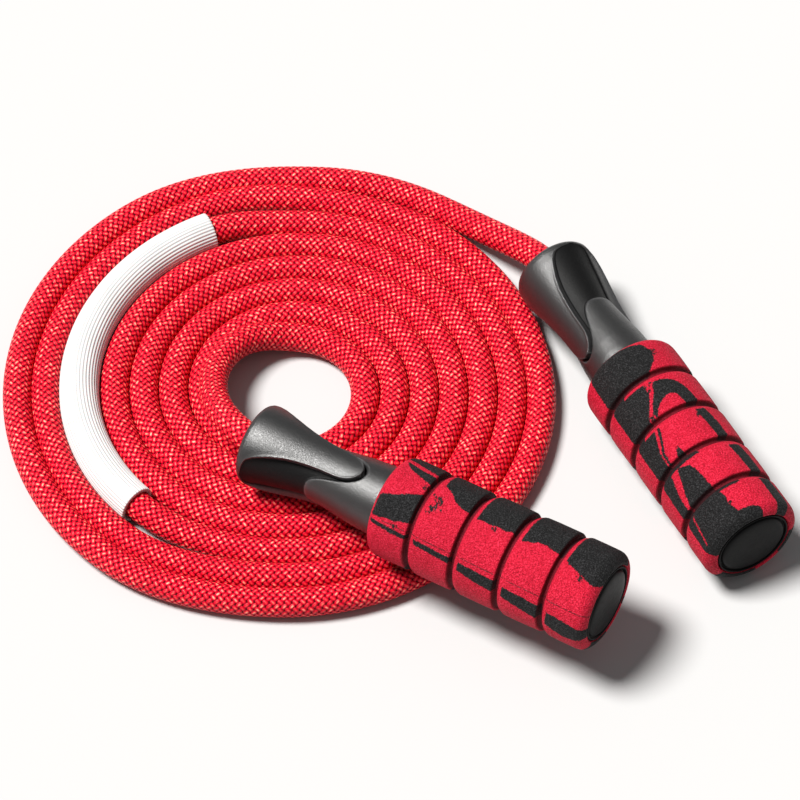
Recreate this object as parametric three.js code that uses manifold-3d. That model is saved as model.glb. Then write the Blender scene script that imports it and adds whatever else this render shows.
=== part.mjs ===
// Jump rope: two ball-bearing handles with segmented foam grips, joined by one
// thick braided rope that lies wound in a flat spiral coil, with a ribbed
// plastic wear sleeve on the rope.
//
// Units are millimetres, +Z is up, and the coil and the grip of handle B rest
// on the plane z = 0.

import * as THREE from 'three';
import { mergeVertices } from 'three/addons/utils/BufferGeometryUtils.js';
import Module from 'manifold-3d';

const wasm = await Module();
wasm.setup();

// ---------------------------------------------------------------------------
// Driving dimensions
// ---------------------------------------------------------------------------
const GAP = 0.3;                 // clearance kept between neighbouring pieces

const ROPE_D = 10;               // braided rope diameter
const ROPE_R = ROPE_D / 2;

const COIL_R_AT_360 = 25.9;      // spiral radius one turn after its start angle
const COIL_PITCH = 10.1;         // radial growth of the spiral per turn
const COIL_START_DEG = 275;      // where the rope has come down to the floor
const COIL_END_DEG = 2790;       // where the rope leaves the coil

const SLEEVE_OD = 13.8;          // ribbed wear sleeve on the rope
const SLEEVE_ID = 10.8;
const SLEEVE_FROM_DEG = 1936;
const SLEEVE_TO_DEG = 2047;
const SLEEVE_TRAVEL_DEG = 2;     // how far it can be pushed along its own turn

const HANDLE_L = 136.9;          // mouth to end of the cap
const GRIP_FROM = 52.6;          // foam grip, measured from the mouth
const GRIP_TO = 136.2;
const GRIP_R = 17.65;
const GRIP_GROOVE_R = 15.6;
const GRIP_GROOVE_W = 2.1;
const GRIP_GROOVES = 4;
const GROOVE_FIRST = 68.5;
const GROOVE_PITCH = 17.05;
const GRIP_MOUTH_R = 13.75;      // opening of the foam around the end cap
const BARREL_R = 12.3;
const BARREL_BORE_R = 10.8;
const BARREL_TO = 129.5;
const HEAD_STRETCH = 1.035;      // length of the head against its tables below
const THROAT_R = 5.8;            // bore of the head that the rope runs through
const SHOULDER = 51.6;           // bearing seat, measured from the mouth

const BEARING_ID = 12.6;         // thin section bearing, 12 x 21 x 5 class
const BEARING_OD = 21;
const BEARING_W = 5;
const BALL_D = 2.38;
const BALL_PITCH_R = 8.4;
const BALLS = 8;

// Where the two handles lie: mouth centre, axis from mouth to butt, and the
// direction that one long petal of the head points to.
const HANDLE_A = {
  mouth: [-11.26, -37.79, 26.3],
  axis: [0.86086, -0.50796, 0.03],
  petal: [0.006, -0.066, 0.998],
};
const HANDLE_B = {
  mouth: [90.38, 44.52, 16.74],
  axis: [0.48021, -0.87702, 0.0157],
  petal: [-0.767, -0.467, 0.44],
};

// The coil centre, seen from the part's origin.
const COIL_X = -76.33;
const COIL_Y = 35.33;

// ---------------------------------------------------------------------------
// Materials
// ---------------------------------------------------------------------------
const mat = (color, roughness, metalness = 0) =>
  new THREE.MeshStandardMaterial({ color, roughness, metalness });
const M = {
  abs: () => mat(0x2a2b2d, 0.5),
  foam: () => mat(0xc8142a, 0.9),
  cap: () => mat(0x141416, 0.35),
  rope: () => mat(0xd8101a, 0.75),
  sleeve: () => mat(0xf2f2ef, 0.35),
  steel: () => mat(0xb9bcc0, 0.25, 1),
  cage: () => mat(0x8f7a4a, 0.45, 0.6),
  clamp: () => mat(0x9a9da1, 0.4, 1),
};

// ---------------------------------------------------------------------------
// Geometry helpers
// ---------------------------------------------------------------------------
function signedVolume(g) {
  const p = g.getAttribute('position');
  const ix = g.index;
  const n = ix ? ix.count : p.count;
  const a = new THREE.Vector3(), b = new THREE.Vector3(), c = new THREE.Vector3();
  let v = 0;
  for (let i = 0; i < n; i += 3) {
    a.fromBufferAttribute(p, ix ? ix.getX(i) : i);
    b.fromBufferAttribute(p, ix ? ix.getX(i + 1) : i + 1);
    c.fromBufferAttribute(p, ix ? ix.getX(i + 2) : i + 2);
    v += a.dot(b.clone().cross(c)) / 6;
  }
  return v;
}

// Merges shared corners, drops collapsed triangles and turns the faces outward.
function clean(geometry) {
  let g = geometry.clone();
  g.deleteAttribute('normal');
  g.deleteAttribute('uv');
  g = mergeVertices(g, 1e-4);
  const out = [];
  for (let i = 0; i < g.index.count; i += 3) {
    const a = g.index.getX(i), b = g.index.getX(i + 1), c = g.index.getX(i + 2);
    if (a !== b && b !== c && a !== c) out.push(a, b, c);
  }
  g.setIndex(out);
  if (signedVolume(g) < 0) {
    for (let i = 0; i < out.length; i += 3) {
      const t = out[i];
      out[i] = out[i + 1];
      out[i + 1] = t;
    }
    g.setIndex(out);
  }
  return g;
}

function toManifold(geometry) {
  const g = clean(geometry);
  return new wasm.Manifold(new wasm.Mesh({
    numProp: 3,
    vertProperties: new Float32Array(g.getAttribute('position').array),
    triVerts: new Uint32Array(g.index.array),
  }));
}

function fromManifold(m) {
  const mesh = m.getMesh();
  const g = new THREE.BufferGeometry();
  g.setAttribute('position', new THREE.BufferAttribute(new Float32Array(mesh.vertProperties), 3));
  g.setIndex(Array.from(mesh.triVerts));
  return g;
}

// Turned piece: profile rows are [distance from the mouth, radius]; the first
// row is repeated at the end for a ring. The turning axis becomes local +Z.
function turned(rows, segments, closed = true) {
  const pts = rows.map(([s, r]) => new THREE.Vector2(r, s));
  if (closed) pts.push(pts[0].clone());
  const g = new THREE.LatheGeometry(pts, segments);
  g.rotateX(Math.PI / 2);
  return g;
}

function node(name, geometry, material) {
  const g = clean(geometry);
  g.computeVertexNormals();
  const mesh = new THREE.Mesh(g, material);
  mesh.name = name;
  return mesh;
}

function lerpTable(rows, x) {
  if (x <= rows[0][0]) return rows[0][1];
  for (let i = 1; i < rows.length; i++) {
    if (x <= rows[i][0]) {
      const [x0, y0] = rows[i - 1], [x1, y1] = rows[i];
      const t = (x - x0) / (x1 - x0);
      return y0 + (y1 - y0) * t;
    }
  }
  return rows[rows.length - 1][1];
}

const smooth = (a, b, x) => {
  const t = Math.min(1, Math.max(0, (x - a) / (b - a)));
  return t * t * (3 - 2 * t);
};

// ---------------------------------------------------------------------------
// Head of the handle: a flared bell whose skin runs back in two long petals,
// with a scoop between them on each side, and the neck rising out of each
// scoop as a rounded tongue.
// ---------------------------------------------------------------------------
const PETAL_R = [[0, 12.7], [0.6, 13.6], [1.6, 14.15], [3, 14.35], [6, 14.35], [10, 14.1],
  [15, 13.6], [20, 13.0], [25, 12.5], [30, 12.2], [36, 12.1], [42, 12.3]];
const PETAL_HALF = [[2.0, 92], [2.5, 74], [3.4, 60], [5.5, 53], [8, 48], [11.6, 41.5], [16, 35.5],
  [20, 32], [24, 29.5], [28, 28], [33, 27.5], [36, 26], [38.5, 20], [40.3, 12], [41.4, 3], [41.7, -3]];
const SCOOP_R = [[2, 14.0], [4, 13.2], [7, 12.3], [10, 11.6], [14, 10.8], [18, 10.0], [22, 9.3],
  [26, 8.9], [30, 8.8], [40, 8.8]];
const NECK_R = [[20, 9.5], [24, 9.75], [27, 10.0], [32, 10.6], [37, 11.3], [42, 11.9], [48, 12.3]];

function headRadius(at, angle, soft) {
  const s = at < 3 ? at : at / (1 + (HEAD_STRETCH - 1) * Math.min(1, (at - 3) / 10));
  // psi: angle from the nearer petal's middle, 0 to 90
  let psi = Math.abs(((angle * 180 / Math.PI - 90) % 180 + 180) % 180);
  if (psi > 90) psi = 180 - psi;
  const petal = lerpTable(PETAL_R, s);
  const neck = lerpTable(NECK_R, s);
  const tongue = 24 + 15 * Math.pow((90 - psi) / 62, 4.7);
  const floor = lerpTable(SCOOP_R, s);
  const inner = s < 20 ? floor : floor + (Math.max(neck, floor) - floor) * smooth(tongue - 0.8, tongue + 0.8, s);
  if (s < 2) return petal;
  const half = lerpTable(PETAL_HALF, s);
  const t = smooth(half - soft, half + soft, psi);
  if (s > 41.9) return Math.max(inner, neck);
  return petal + (inner - petal) * t;
}

function shellGeometry() {
  const outer = [];
  for (const s of [0, 0.6, 1.6, 3, 6, 10, 14, 18, 22, 25, 28.5, 32, 36, 39.5, 41.7, 43.5, 48.5]) {
    outer.push([s < 4 ? s : s * HEAD_STRETCH, 12.3]);
  }
  const n = outer.length;
  const rows = outer.concat([
    [BARREL_TO, BARREL_R],
    [BARREL_TO, BARREL_BORE_R],
    [SHOULDER, BARREL_BORE_R],
    [SHOULDER, 8.6],
    [SHOULDER - 0.6, 8.6],
    [SHOULDER - 0.6, THROAT_R],
    [5.0, THROAT_R],
    [2.2, 7.6],
    [0.3, 10.9],
  ]);
  const segments = 28;
  const g = turned(rows, segments);
  const p = g.getAttribute('position');
  const per = rows.length + 1;
  for (let i = 0; i <= segments; i++) {
    for (let j = 0; j < per; j++) {
      const k = i * per + j;
      const row = j === rows.length ? 0 : j;
      if (row >= n) continue;
      const s = outer[row][0];
      const a = Math.atan2(p.getY(k), p.getX(k));
      const r = s >= 49 ? BARREL_R : headRadius(s, a, 7);
      p.setXY(k, r * Math.cos(a), r * Math.sin(a));
    }
  }
  return g;
}

// ---------------------------------------------------------------------------
// Foam grip: five segments between four grooves, with turned-down edges.
// ---------------------------------------------------------------------------
function gripGeometry() {
  const rows = [[GRIP_FROM + GAP, BARREL_R + GAP], [GRIP_FROM, 14.6], [GRIP_FROM + 1.2, 16.6],
    [GRIP_FROM + 2.8, GRIP_R]];
  for (let i = 0; i < GRIP_GROOVES; i++) {
    const c = GROOVE_FIRST + i * GROOVE_PITCH;
    rows.push([c - GRIP_GROOVE_W / 2, GRIP_R], [c - GRIP_GROOVE_W / 2 + 0.4, GRIP_GROOVE_R],
      [c + GRIP_GROOVE_W / 2 - 0.4, GRIP_GROOVE_R], [c + GRIP_GROOVE_W / 2, GRIP_R]);
  }
  rows.push([GRIP_TO - 2.2, GRIP_R], [GRIP_TO - 0.8, 17.1], [GRIP_TO, 15.6], [GRIP_TO, GRIP_MOUTH_R],
    [BARREL_TO + GAP, GRIP_MOUTH_R], [BARREL_TO + GAP, BARREL_R + GAP]);
  return turned(rows, 24);
}

// End cap: slightly domed disc inside a thin raised rim, with a hollow plug
// that pushes into the barrel.
function capGeometry() {
  const rows = [
    [HANDLE_L, 0],
    [HANDLE_L - 0.2, 8],
    [HANDLE_L - 0.6, 11.4],
    [HANDLE_L - 1.7, 12.1],
    [HANDLE_L - 1.7, 12.6],
    [HANDLE_L - 0.9, 12.75],
    [HANDLE_L - 1.1, GRIP_MOUTH_R - GAP],
    [BARREL_TO + GAP, GRIP_MOUTH_R - GAP],
    [BARREL_TO + GAP, BARREL_BORE_R - GAP],
    [117.2, BARREL_BORE_R - GAP],
    [117.2, 8.6],
    [132.0, 8.6],
    [132.0, 0],
  ];
  return turned(rows, 24, false);
}

// ---------------------------------------------------------------------------
// Bearing and the parts that hang the rope in it
// ---------------------------------------------------------------------------
const B0 = SHOULDER + GAP;               // front face of the bearing
const B1 = B0 + BEARING_W;               // rear face
const BM = (B0 + B1) / 2;

function outerRingGeometry() {
  return turned([[B0, 9.45], [B0, BEARING_OD / 2], [B1, BEARING_OD / 2], [B1, 9.45],
    [BM + 1.3, 9.45], [BM, 9.95], [BM - 1.3, 9.45]], 24);
}

function innerRingGeometry() {
  return turned([[B0, BEARING_ID / 2], [B1, BEARING_ID / 2], [B1, 7.35], [BM + 1.3, 7.35],
    [BM, 6.85], [BM - 1.3, 7.35], [B0, 7.35]], 24);
}

function cageGeometry() {
  const ring = toManifold(turned([[BM - 2.1, 7.75], [BM - 2.1, 8.95], [BM + 2.1, 8.95], [BM + 2.1, 7.75]], 24));
  let body = ring;
  for (let i = 0; i < BALLS; i++) {
    const pocket = new THREE.CylinderGeometry(BALL_D / 2 + GAP, BALL_D / 2 + GAP, 4, 8);
    pocket.rotateZ(Math.PI / 2);
    pocket.translate(BALL_PITCH_R, 0, BM);
    pocket.rotateZ((i * 2 * Math.PI) / BALLS);
    body = body.subtract(toManifold(pocket));
  }
  return fromManifold(body);
}

function ballGeometry(i) {
  const g = new THREE.IcosahedronGeometry(BALL_D / 2, 1);
  g.translate(BALL_PITCH_R, 0, BM);
  g.rotateZ((i * 2 * Math.PI) / BALLS);
  return g;
}

function bushGeometry() {
  return turned([[B0 - 0.3, ROPE_R + GAP], [B0 - 0.3, 6.0], [B1 + GAP, 6.0], [B1 + GAP, 7.4],
    [B1 + GAP + 1.2, 7.4], [B1 + GAP + 1.2, ROPE_R + GAP]], 20);
}

function washerGeometry() {
  const s = B1 + 2 * GAP + 1.2;
  return turned([[s, ROPE_R + GAP], [s, 8.5], [s + 1, 8.5], [s + 1, ROPE_R + GAP]], 20);
}

function clampGeometry() {
  const s = B1 + 3 * GAP + 2.2;
  return turned([[s, ROPE_R + GAP], [s, 7.6], [s + 0.8, 8.4], [s + 7.2, 8.4], [s + 8, 7.6], [s + 8, ROPE_R + GAP]], 20);
}

function retainerGeometry() {
  const s = B1 + GAP;
  return turned([[s, 9.4], [s, BARREL_BORE_R - GAP], [s + 1.8, BARREL_BORE_R - GAP], [s + 1.8, 9.4]], 20);
}

// The rope's own end inside the handle: through the throat, the bush, the
// washer and the clamp.
const ROPE_IN = 4.0;                     // how far the free rope reaches into the mouth
function ropeEndGeometry() {
  const end = B1 + 3 * GAP + 2.2 + 8 + 2.5;
  return turned([[ROPE_IN + GAP, 0], [ROPE_IN + GAP, ROPE_R], [end - 1, ROPE_R], [end, ROPE_R - 1], [end, 0]], 12, false);
}

// ---------------------------------------------------------------------------
// One handle with everything in it, in its own frame: local +Z runs from the
// mouth to the butt, local +Y is the middle of one petal.
// ---------------------------------------------------------------------------
function handle(place, tag) {
  const group = new THREE.Group();
  const z = new THREE.Vector3(...place.axis).normalize();
  const y = new THREE.Vector3(...place.petal);
  y.addScaledVector(z, -y.dot(z)).normalize();
  const x = y.clone().cross(z);
  group.quaternion.setFromRotationMatrix(new THREE.Matrix4().makeBasis(x, y, z));
  group.position.set(...place.mouth);

  group.add(node(`handle_shell_${tag}`, shellGeometry(), M.abs()));
  group.add(node(`foam_grip_${tag}`, gripGeometry(), M.foam()));
  group.add(node(`end_cap_${tag}`, capGeometry(), M.cap()));
  group.add(node(`bearing_outer_ring_${tag}`, outerRingGeometry(), M.steel()));
  group.add(node(`bearing_inner_ring_${tag}`, innerRingGeometry(), M.steel()));
  group.add(node(`ball_cage_${tag}`, cageGeometry(), M.cage()));
  for (let i = 0; i < BALLS; i++) {
    group.add(node(`bearing_ball_${tag}_${i + 1}`, ballGeometry(i), M.steel()));
  }
  group.add(node(`bearing_retainer_${tag}`, retainerGeometry(), M.cap()));
  group.add(node(`swivel_bush_${tag}`, bushGeometry(), M.clamp()));
  group.add(node(`thrust_washer_${tag}`, washerGeometry(), M.steel()));
  group.add(node(`rope_clamp_${tag}`, clampGeometry(), M.clamp()));
  group.add(node(`rope_end_${tag}`, ropeEndGeometry(), M.rope()));
  return group;
}

// ---------------------------------------------------------------------------
// Rope: spiral coil on the floor. Angles run clockwise seen from above.
// ---------------------------------------------------------------------------
function bump(deg, from, to, fade) {
  return smooth(from - fade, from, deg) * (1 - smooth(to, to + fade, deg));
}

// The turn that carries the sleeve and the two outside it stand further out.
function coilRadius(deg) {
  let r = COIL_R_AT_360 + COIL_PITCH * (deg - 360) / 360;
  r += 1.8 * bump(deg, SLEEVE_FROM_DEG - 2, SLEEVE_TO_DEG + 2, 22);
  r += 3.5 * bump(deg - 360, SLEEVE_FROM_DEG - 4, SLEEVE_TO_DEG + 4, 34);
  r += 3.2 * bump(deg - 720, SLEEVE_FROM_DEG - 4, SLEEVE_TO_DEG - 12, 38);
  return r;
}

function coilHeight(deg) {
  return ROPE_R + (SLEEVE_OD / 2 - ROPE_R) * bump(deg, SLEEVE_FROM_DEG - 1, SLEEVE_TO_DEG + 1, 18);
}

function coilPoint(deg, r = coilRadius(deg), z = coilHeight(deg)) {
  const a = -deg * Math.PI / 180;
  return new THREE.Vector3(r * Math.cos(a), r * Math.sin(a), z);
}

const along = (place, t) => new THREE.Vector3(...place.mouth)
  .addScaledVector(new THREE.Vector3(...place.axis).normalize(), t);

// Free stretch from handle A down to the inside of the coil.
const LEAD_A = new THREE.CatmullRomCurve3([
  along(HANDLE_A, ROPE_IN),
  along(HANDLE_A, 0),
  new THREE.Vector3(-15.5, -34.3, 26.1),
  new THREE.Vector3(-19.8, -29.0, 24.9),
  new THREE.Vector3(-23.3, -22.4, 22.6),
  new THREE.Vector3(-25.7, -15.1, 19.6),
  new THREE.Vector3(-26.7, -7.2, 16.7),
  coilPoint(182, 26.5, 14.4),
  coilPoint(203, 25.4, 12.9),
  coilPoint(224, 24.5, 11.2),
  coilPoint(243, 23.8, 8.9),
  coilPoint(260, 23.4, 6.3),
  coilPoint(COIL_START_DEG - 0.8, 23.5, ROPE_R),
], false, 'centripetal');

// Free stretch from the outside of the coil up to handle B.
const LEAD_B = new THREE.CatmullRomCurve3([
  coilPoint(COIL_END_DEG + 0.25),
  coilPoint(COIL_END_DEG + 9, 94.7, ROPE_R),
  coilPoint(COIL_END_DEG + 18, 95.3, ROPE_R),
  new THREE.Vector3(44.6, 84.6, 5.2),
  new THREE.Vector3(56.7, 76.5, 6.6),
  new THREE.Vector3(68.5, 67.2, 9.2),
  new THREE.Vector3(79.5, 57.9, 12.5),
  new THREE.Vector3(86.6, 51.0, 14.7),
  along(HANDLE_B, 0),
  along(HANDLE_B, ROPE_IN),
], false, 'centripetal');

function circle(r, n) {
  const pts = [];
  for (let i = 0; i < n; i++) {
    const a = (i + 0.5) * 2 * Math.PI / n;
    pts.push(new THREE.Vector2(r * Math.cos(a), r * Math.sin(a)));
  }
  return new THREE.Shape(pts);
}

function tube(curve, r, steps, sides) {
  return new THREE.ExtrudeGeometry(circle(r, sides), {
    steps, extrudePath: curve, bevelEnabled: false, curveSegments: sides,
  });
}

// A stretch of the spiral as a curve.
function arc(from, to, n) {
  const pts = [];
  for (let i = 0; i <= n; i++) pts.push(coilPoint(from + (to - from) * i / n));
  return new THREE.CatmullRomCurve3(pts, false, 'centripetal');
}

function coilGeometry() {
  const flat = (deg, r) => {
    const p = coilPoint(deg, r);
    return new THREE.Vector2(p.x, p.y);
  };
  const outline = [];
  for (let i = 0; i <= 60; i++) {
    const d = COIL_END_DEG - 360 + 6 * i;
    // pressed in a little where the bell of handle B turns beside it
    outline.push(flat(d, coilRadius(d) + ROPE_R - 3.3 * bump(d, 2488, 2504, 14)));
  }
  const hole = [];
  for (let i = 0; i <= 36; i++) {
    const d = COIL_START_DEG + 10 * i;
    hole.push(flat(d, coilRadius(d) - ROPE_R));
  }
  const shape = new THREE.Shape(outline.reverse());
  shape.holes.push(new THREE.Path(hole));
  let body = toManifold(new THREE.ExtrudeGeometry(shape, { depth: ROPE_D, bevelEnabled: false }));
  // channel for the sleeve, then the rope that runs through it
  const over = SLEEVE_TRAVEL_DEG + 0.6;
  body = body.subtract(toManifold(tube(arc(SLEEVE_FROM_DEG - over, SLEEVE_TO_DEG + over, 24), SLEEVE_OD / 2 + 0.55, 24, 12)));
  body = body.add(toManifold(tube(arc(SLEEVE_FROM_DEG - over - 4, SLEEVE_TO_DEG + over + 4, 26), ROPE_R, 26, 10)));
  // room for the two free stretches where they touch the coil
  body = body.subtract(toManifold(tube(LEAD_A, ROPE_R + GAP, 25, 12)));
  body = body.subtract(toManifold(tube(LEAD_B, ROPE_R + GAP, 20, 10)));
  return fromManifold(body);
}

function sleeveGeometry() {
  const path = arc(SLEEVE_FROM_DEG, SLEEVE_TO_DEG, 24);
  const outer = toManifold(tube(path, SLEEVE_OD / 2, 24, 12));
  const longer = arc(SLEEVE_FROM_DEG - 2, SLEEVE_TO_DEG + 2, 24);
  return fromManifold(outer.subtract(toManifold(tube(longer, SLEEVE_ID / 2, 24, 12))));
}

// ---------------------------------------------------------------------------
// Assembly
// ---------------------------------------------------------------------------
const jumpRope = new THREE.Group();
jumpRope.position.set(COIL_X, COIL_Y, 0);
jumpRope.add(handle(HANDLE_A, 'a'));
jumpRope.add(handle(HANDLE_B, 'b'));
jumpRope.add(node('rope_lead_a', tube(LEAD_A, ROPE_R, 28, 10), M.rope()));
jumpRope.add(node('rope_coil', coilGeometry(), M.rope()));
jumpRope.add(node('rope_lead_b', tube(LEAD_B, ROPE_R, 24, 10), M.rope()));
jumpRope.add(node('rope_sleeve', sleeveGeometry(), M.sleeve()));

const part = new THREE.Group();
part.add(jumpRope);

export default part;
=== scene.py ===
import math

import bpy
import numpy as np
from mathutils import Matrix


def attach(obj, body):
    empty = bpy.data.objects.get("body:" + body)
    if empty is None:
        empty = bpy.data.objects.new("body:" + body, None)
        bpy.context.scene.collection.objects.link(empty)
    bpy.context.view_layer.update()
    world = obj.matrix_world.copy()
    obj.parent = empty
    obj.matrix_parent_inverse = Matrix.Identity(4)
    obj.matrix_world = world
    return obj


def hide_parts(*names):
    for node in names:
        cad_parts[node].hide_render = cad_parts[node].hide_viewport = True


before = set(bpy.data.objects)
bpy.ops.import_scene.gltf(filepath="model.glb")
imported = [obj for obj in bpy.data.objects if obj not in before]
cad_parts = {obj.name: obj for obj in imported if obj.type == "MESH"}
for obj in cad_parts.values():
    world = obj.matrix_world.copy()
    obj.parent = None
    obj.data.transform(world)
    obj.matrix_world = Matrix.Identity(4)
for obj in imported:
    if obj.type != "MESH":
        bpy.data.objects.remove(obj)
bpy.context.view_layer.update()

MM = 0.001
scene = bpy.context.scene

# ---------------------------------------------------------------------------
# Camera
# ---------------------------------------------------------------------------
cam_data = bpy.data.cameras.new("camera")
cam_data.sensor_width = 36.0
cam_data.lens = 234.9
cam_data.clip_start = 0.05
cam_data.clip_end = 30
cam = bpy.data.objects.new("camera", cam_data)
scene.collection.objects.link(cam)
cam.location = (-0.03883, -1.0518, 1.4425)
cam.rotation_euler = (math.radians(37.0), 0, 0)
scene.camera = cam

# ---------------------------------------------------------------------------
# Driving dimensions, the same as the CAD's, in mm
# ---------------------------------------------------------------------------
COIL = np.array([-76.33, 35.33, 0.0])
ROPE_R = 5.0
COIL_START, COIL_END = 275.0, 2790.0
SLEEVE_OD, SLEEVE_ID = 13.8, 10.8
SLEEVE_FROM, SLEEVE_TO = 1936.0, 2047.0
HANDLE_L, GRIP_FROM, GRIP_TO, GRIP_R = 136.9, 52.6, 136.2, 17.65
GROOVE_FIRST, GROOVE_PITCH = 68.5, 17.05
HEAD_STRETCH = 1.035
HANDLES = {
    "a": dict(mouth=[-11.26, -37.79, 26.3], axis=[0.86086, -0.50796, 0.03], petal=[0.006, -0.066, 0.998]),
    "b": dict(mouth=[90.38, 44.52, 16.74], axis=[0.48021, -0.87702, 0.0157], petal=[-0.767, -0.467, 0.44]),
}
for h in HANDLES.values():
    z = np.array(h["axis"], float); z /= np.linalg.norm(z)
    y = np.array(h["petal"], float); y -= z * (y @ z); y /= np.linalg.norm(y)
    h["basis"] = np.stack([np.cross(y, z), y, z])          # rows are local X, Y, Z
    h["origin"] = np.array(h["mouth"], float) + COIL


def to_row(tag, pts):
    h = HANDLES[tag]
    return (h["origin"] + np.asarray(pts, float) @ h["basis"]) * MM


def smooth(a, b, x):
    t = np.clip((np.asarray(x, float) - a) / (b - a), 0, 1)
    return t * t * (3 - 2 * t)


def bump(deg, a, b, fade):
    return smooth(a - fade, a, deg) * (1 - smooth(b, b + fade, deg))


def coil_radius(deg):
    deg = np.asarray(deg, float)
    r = 25.9 + 10.1 * (deg - 360) / 360
    r = r + 1.8 * bump(deg, SLEEVE_FROM - 2, SLEEVE_TO + 2, 22)
    r = r + 3.5 * bump(deg - 360, SLEEVE_FROM - 4, SLEEVE_TO + 4, 34)
    r = r + 3.2 * bump(deg - 720, SLEEVE_FROM - 4, SLEEVE_TO - 12, 38)
    return r


def coil_point(deg, r=None, z=None):
    deg = np.asarray(deg, float)
    r = coil_radius(deg) if r is None else np.full_like(deg, r)
    z = 5 + 1.9 * bump(deg, SLEEVE_FROM - 1, SLEEVE_TO + 1, 18) if z is None else np.full_like(deg, z)
    a = -np.radians(deg)
    return np.stack([r * np.cos(a), r * np.sin(a), z], -1)


def along(tag, t):
    h = HANDLES[tag]
    return np.array(h["mouth"], float) + h["basis"][2] * t


def catmull(points, per=24):
    p = np.array(points, float)
    p = np.vstack([2 * p[0] - p[1], p, 2 * p[-1] - p[-2]])
    out = []
    for i in range(1, len(p) - 2):
        x0, x1, x2, x3 = p[i - 1], p[i], p[i + 1], p[i + 2]
        d0, d1, d2 = (math.sqrt(np.linalg.norm(b - a)) for a, b in ((x0, x1), (x1, x2), (x2, x3)))
        t1 = ((x1 - x0) / d0 - (x2 - x0) / (d0 + d1) + (x2 - x1) / d1) * d1
        t2 = ((x2 - x1) / d1 - (x3 - x1) / (d1 + d2) + (x3 - x2) / d2) * d1
        t = np.linspace(0, 1, per, endpoint=False)[:, None]
        out.append(x1 + t1 * t + (-3 * x1 + 3 * x2 - 2 * t1 - t2) * t ** 2 + (2 * x1 - 2 * x2 + t1 + t2) * t ** 3)
    out.append(p[-2][None])
    return np.vstack(out)


def resample(p, step):
    d = np.concatenate([[0], np.cumsum(np.linalg.norm(np.diff(p, axis=0), axis=1))])
    n = max(2, int(round(d[-1] / step)) + 1)
    q = np.linspace(0, d[-1], n)
    return np.stack([np.interp(q, d, p[:, i]) for i in range(3)], -1), q, d[-1]


# ---------------------------------------------------------------------------
# Rope route: out of handle A, down into the coil, seven turns, up to handle B
# ---------------------------------------------------------------------------
lead_a = catmull([
    along("a", 4), along("a", 0), (-15.5, -34.3, 26.1), (-19.8, -29.0, 24.9), (-23.3, -22.4, 22.6),
    (-25.7, -15.1, 19.6), (-26.7, -7.2, 16.7), coil_point(182, 26.5, 14.4), coil_point(203, 25.4, 12.9),
    coil_point(224, 24.5, 11.2), coil_point(243, 23.8, 8.9), coil_point(260, 23.4, 6.3), coil_point(274.2, 23.5, 5.0)])
lead_b = catmull([
    coil_point(2790.25), coil_point(2799, 94.7, 5.0), coil_point(2808, 95.3, 5.0), (44.6, 84.6, 5.2), (56.7, 76.5, 6.6),
    (68.5, 67.2, 9.2), (79.5, 57.9, 12.5), (86.6, 51.0, 14.7), along("b", 0), along("b", 4)])
turns_deg = np.arange(COIL_START, COIL_END, 0.5)
turns_r = coil_radius(turns_deg) - 0.35 * bump(turns_deg, 2486, 2506, 16)
turns = coil_point(turns_deg)
turns[:, 0] *= turns_r / coil_radius(turns_deg)
turns[:, 1] *= turns_r / coil_radius(turns_deg)
route = np.vstack([lead_a, turns, lead_b])
keep = np.concatenate([[True], np.linalg.norm(np.diff(route, axis=0), axis=1) > 1e-3])
route = route[keep]
route, _, _ = resample(route, 0.5)
sig = 5.0 / 0.5
ker = np.exp(-0.5 * (np.arange(-int(3 * sig), int(3 * sig) + 1) / sig) ** 2); ker /= ker.sum()
half = len(ker) // 2
first = route[0] + (route[0] - route[1]) * np.arange(half, 0, -1)[:, None]
last = route[-1] + (route[-1] - route[-2]) * np.arange(1, half + 1)[:, None]
ext = np.vstack([first, route, last])
route = np.stack([np.convolve(ext[:, i], ker, mode="valid") for i in range(3)], -1)

PITCH, COLS = 2.45, 22
COL_W = 2 * math.pi * ROPE_R / COLS
TH = math.radians(45)
LA, LB = 1.30, 0.90
RINGS, AROUND = 6, 44
route, run, length_mm = resample(route, PITCH / RINGS)
route = route + COIL
T = np.gradient(route, axis=0); T /= np.linalg.norm(T, axis=1)[:, None]
N = np.array([0, 0, 1.0]) - T * T[:, 2:3]; N /= np.linalg.norm(N, axis=1)[:, None]
B = np.cross(T, N)


def relief_np(u, v):
    """Height 0 to 1 of the braid: slanted strands in columns that interlock."""
    k = np.floor(v)
    best = np.full(np.broadcast(u, v).shape, -9.0)
    for dj in (-1, 0, 1):
        j = k + dj
        par = np.mod(j, 2)
        s = 1 - 2 * par
        yy = (v - j - 0.5) * COL_W
        w = u - 0.5 * par - s * yy * (1 / math.tan(TH) / PITCH)
        fr = w - np.round(w)
        a = yy / math.sin(TH) + s * fr * PITCH * math.cos(TH)
        b = fr * PITCH * math.sin(TH)
        best = np.maximum(best, 1 - np.abs(a / LA) ** 3 - (b / LB) ** 2)
    return np.sqrt(np.maximum(best, 0))


def volume(verts, faces):
    """Signed volume; negative when the faces look inwards."""
    v = np.asarray(verts, float)
    v = v - v.mean(axis=0)
    total = 0.0
    for k in (3, 4):
        f = np.array([q for q in faces if len(q) == k], int)
        if len(f):
            for i in range(1, k - 1):
                total += np.einsum("ij,ij->i", v[f[:, 0]], np.cross(v[f[:, i]], v[f[:, i + 1]])).sum()
    return total / 6


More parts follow.
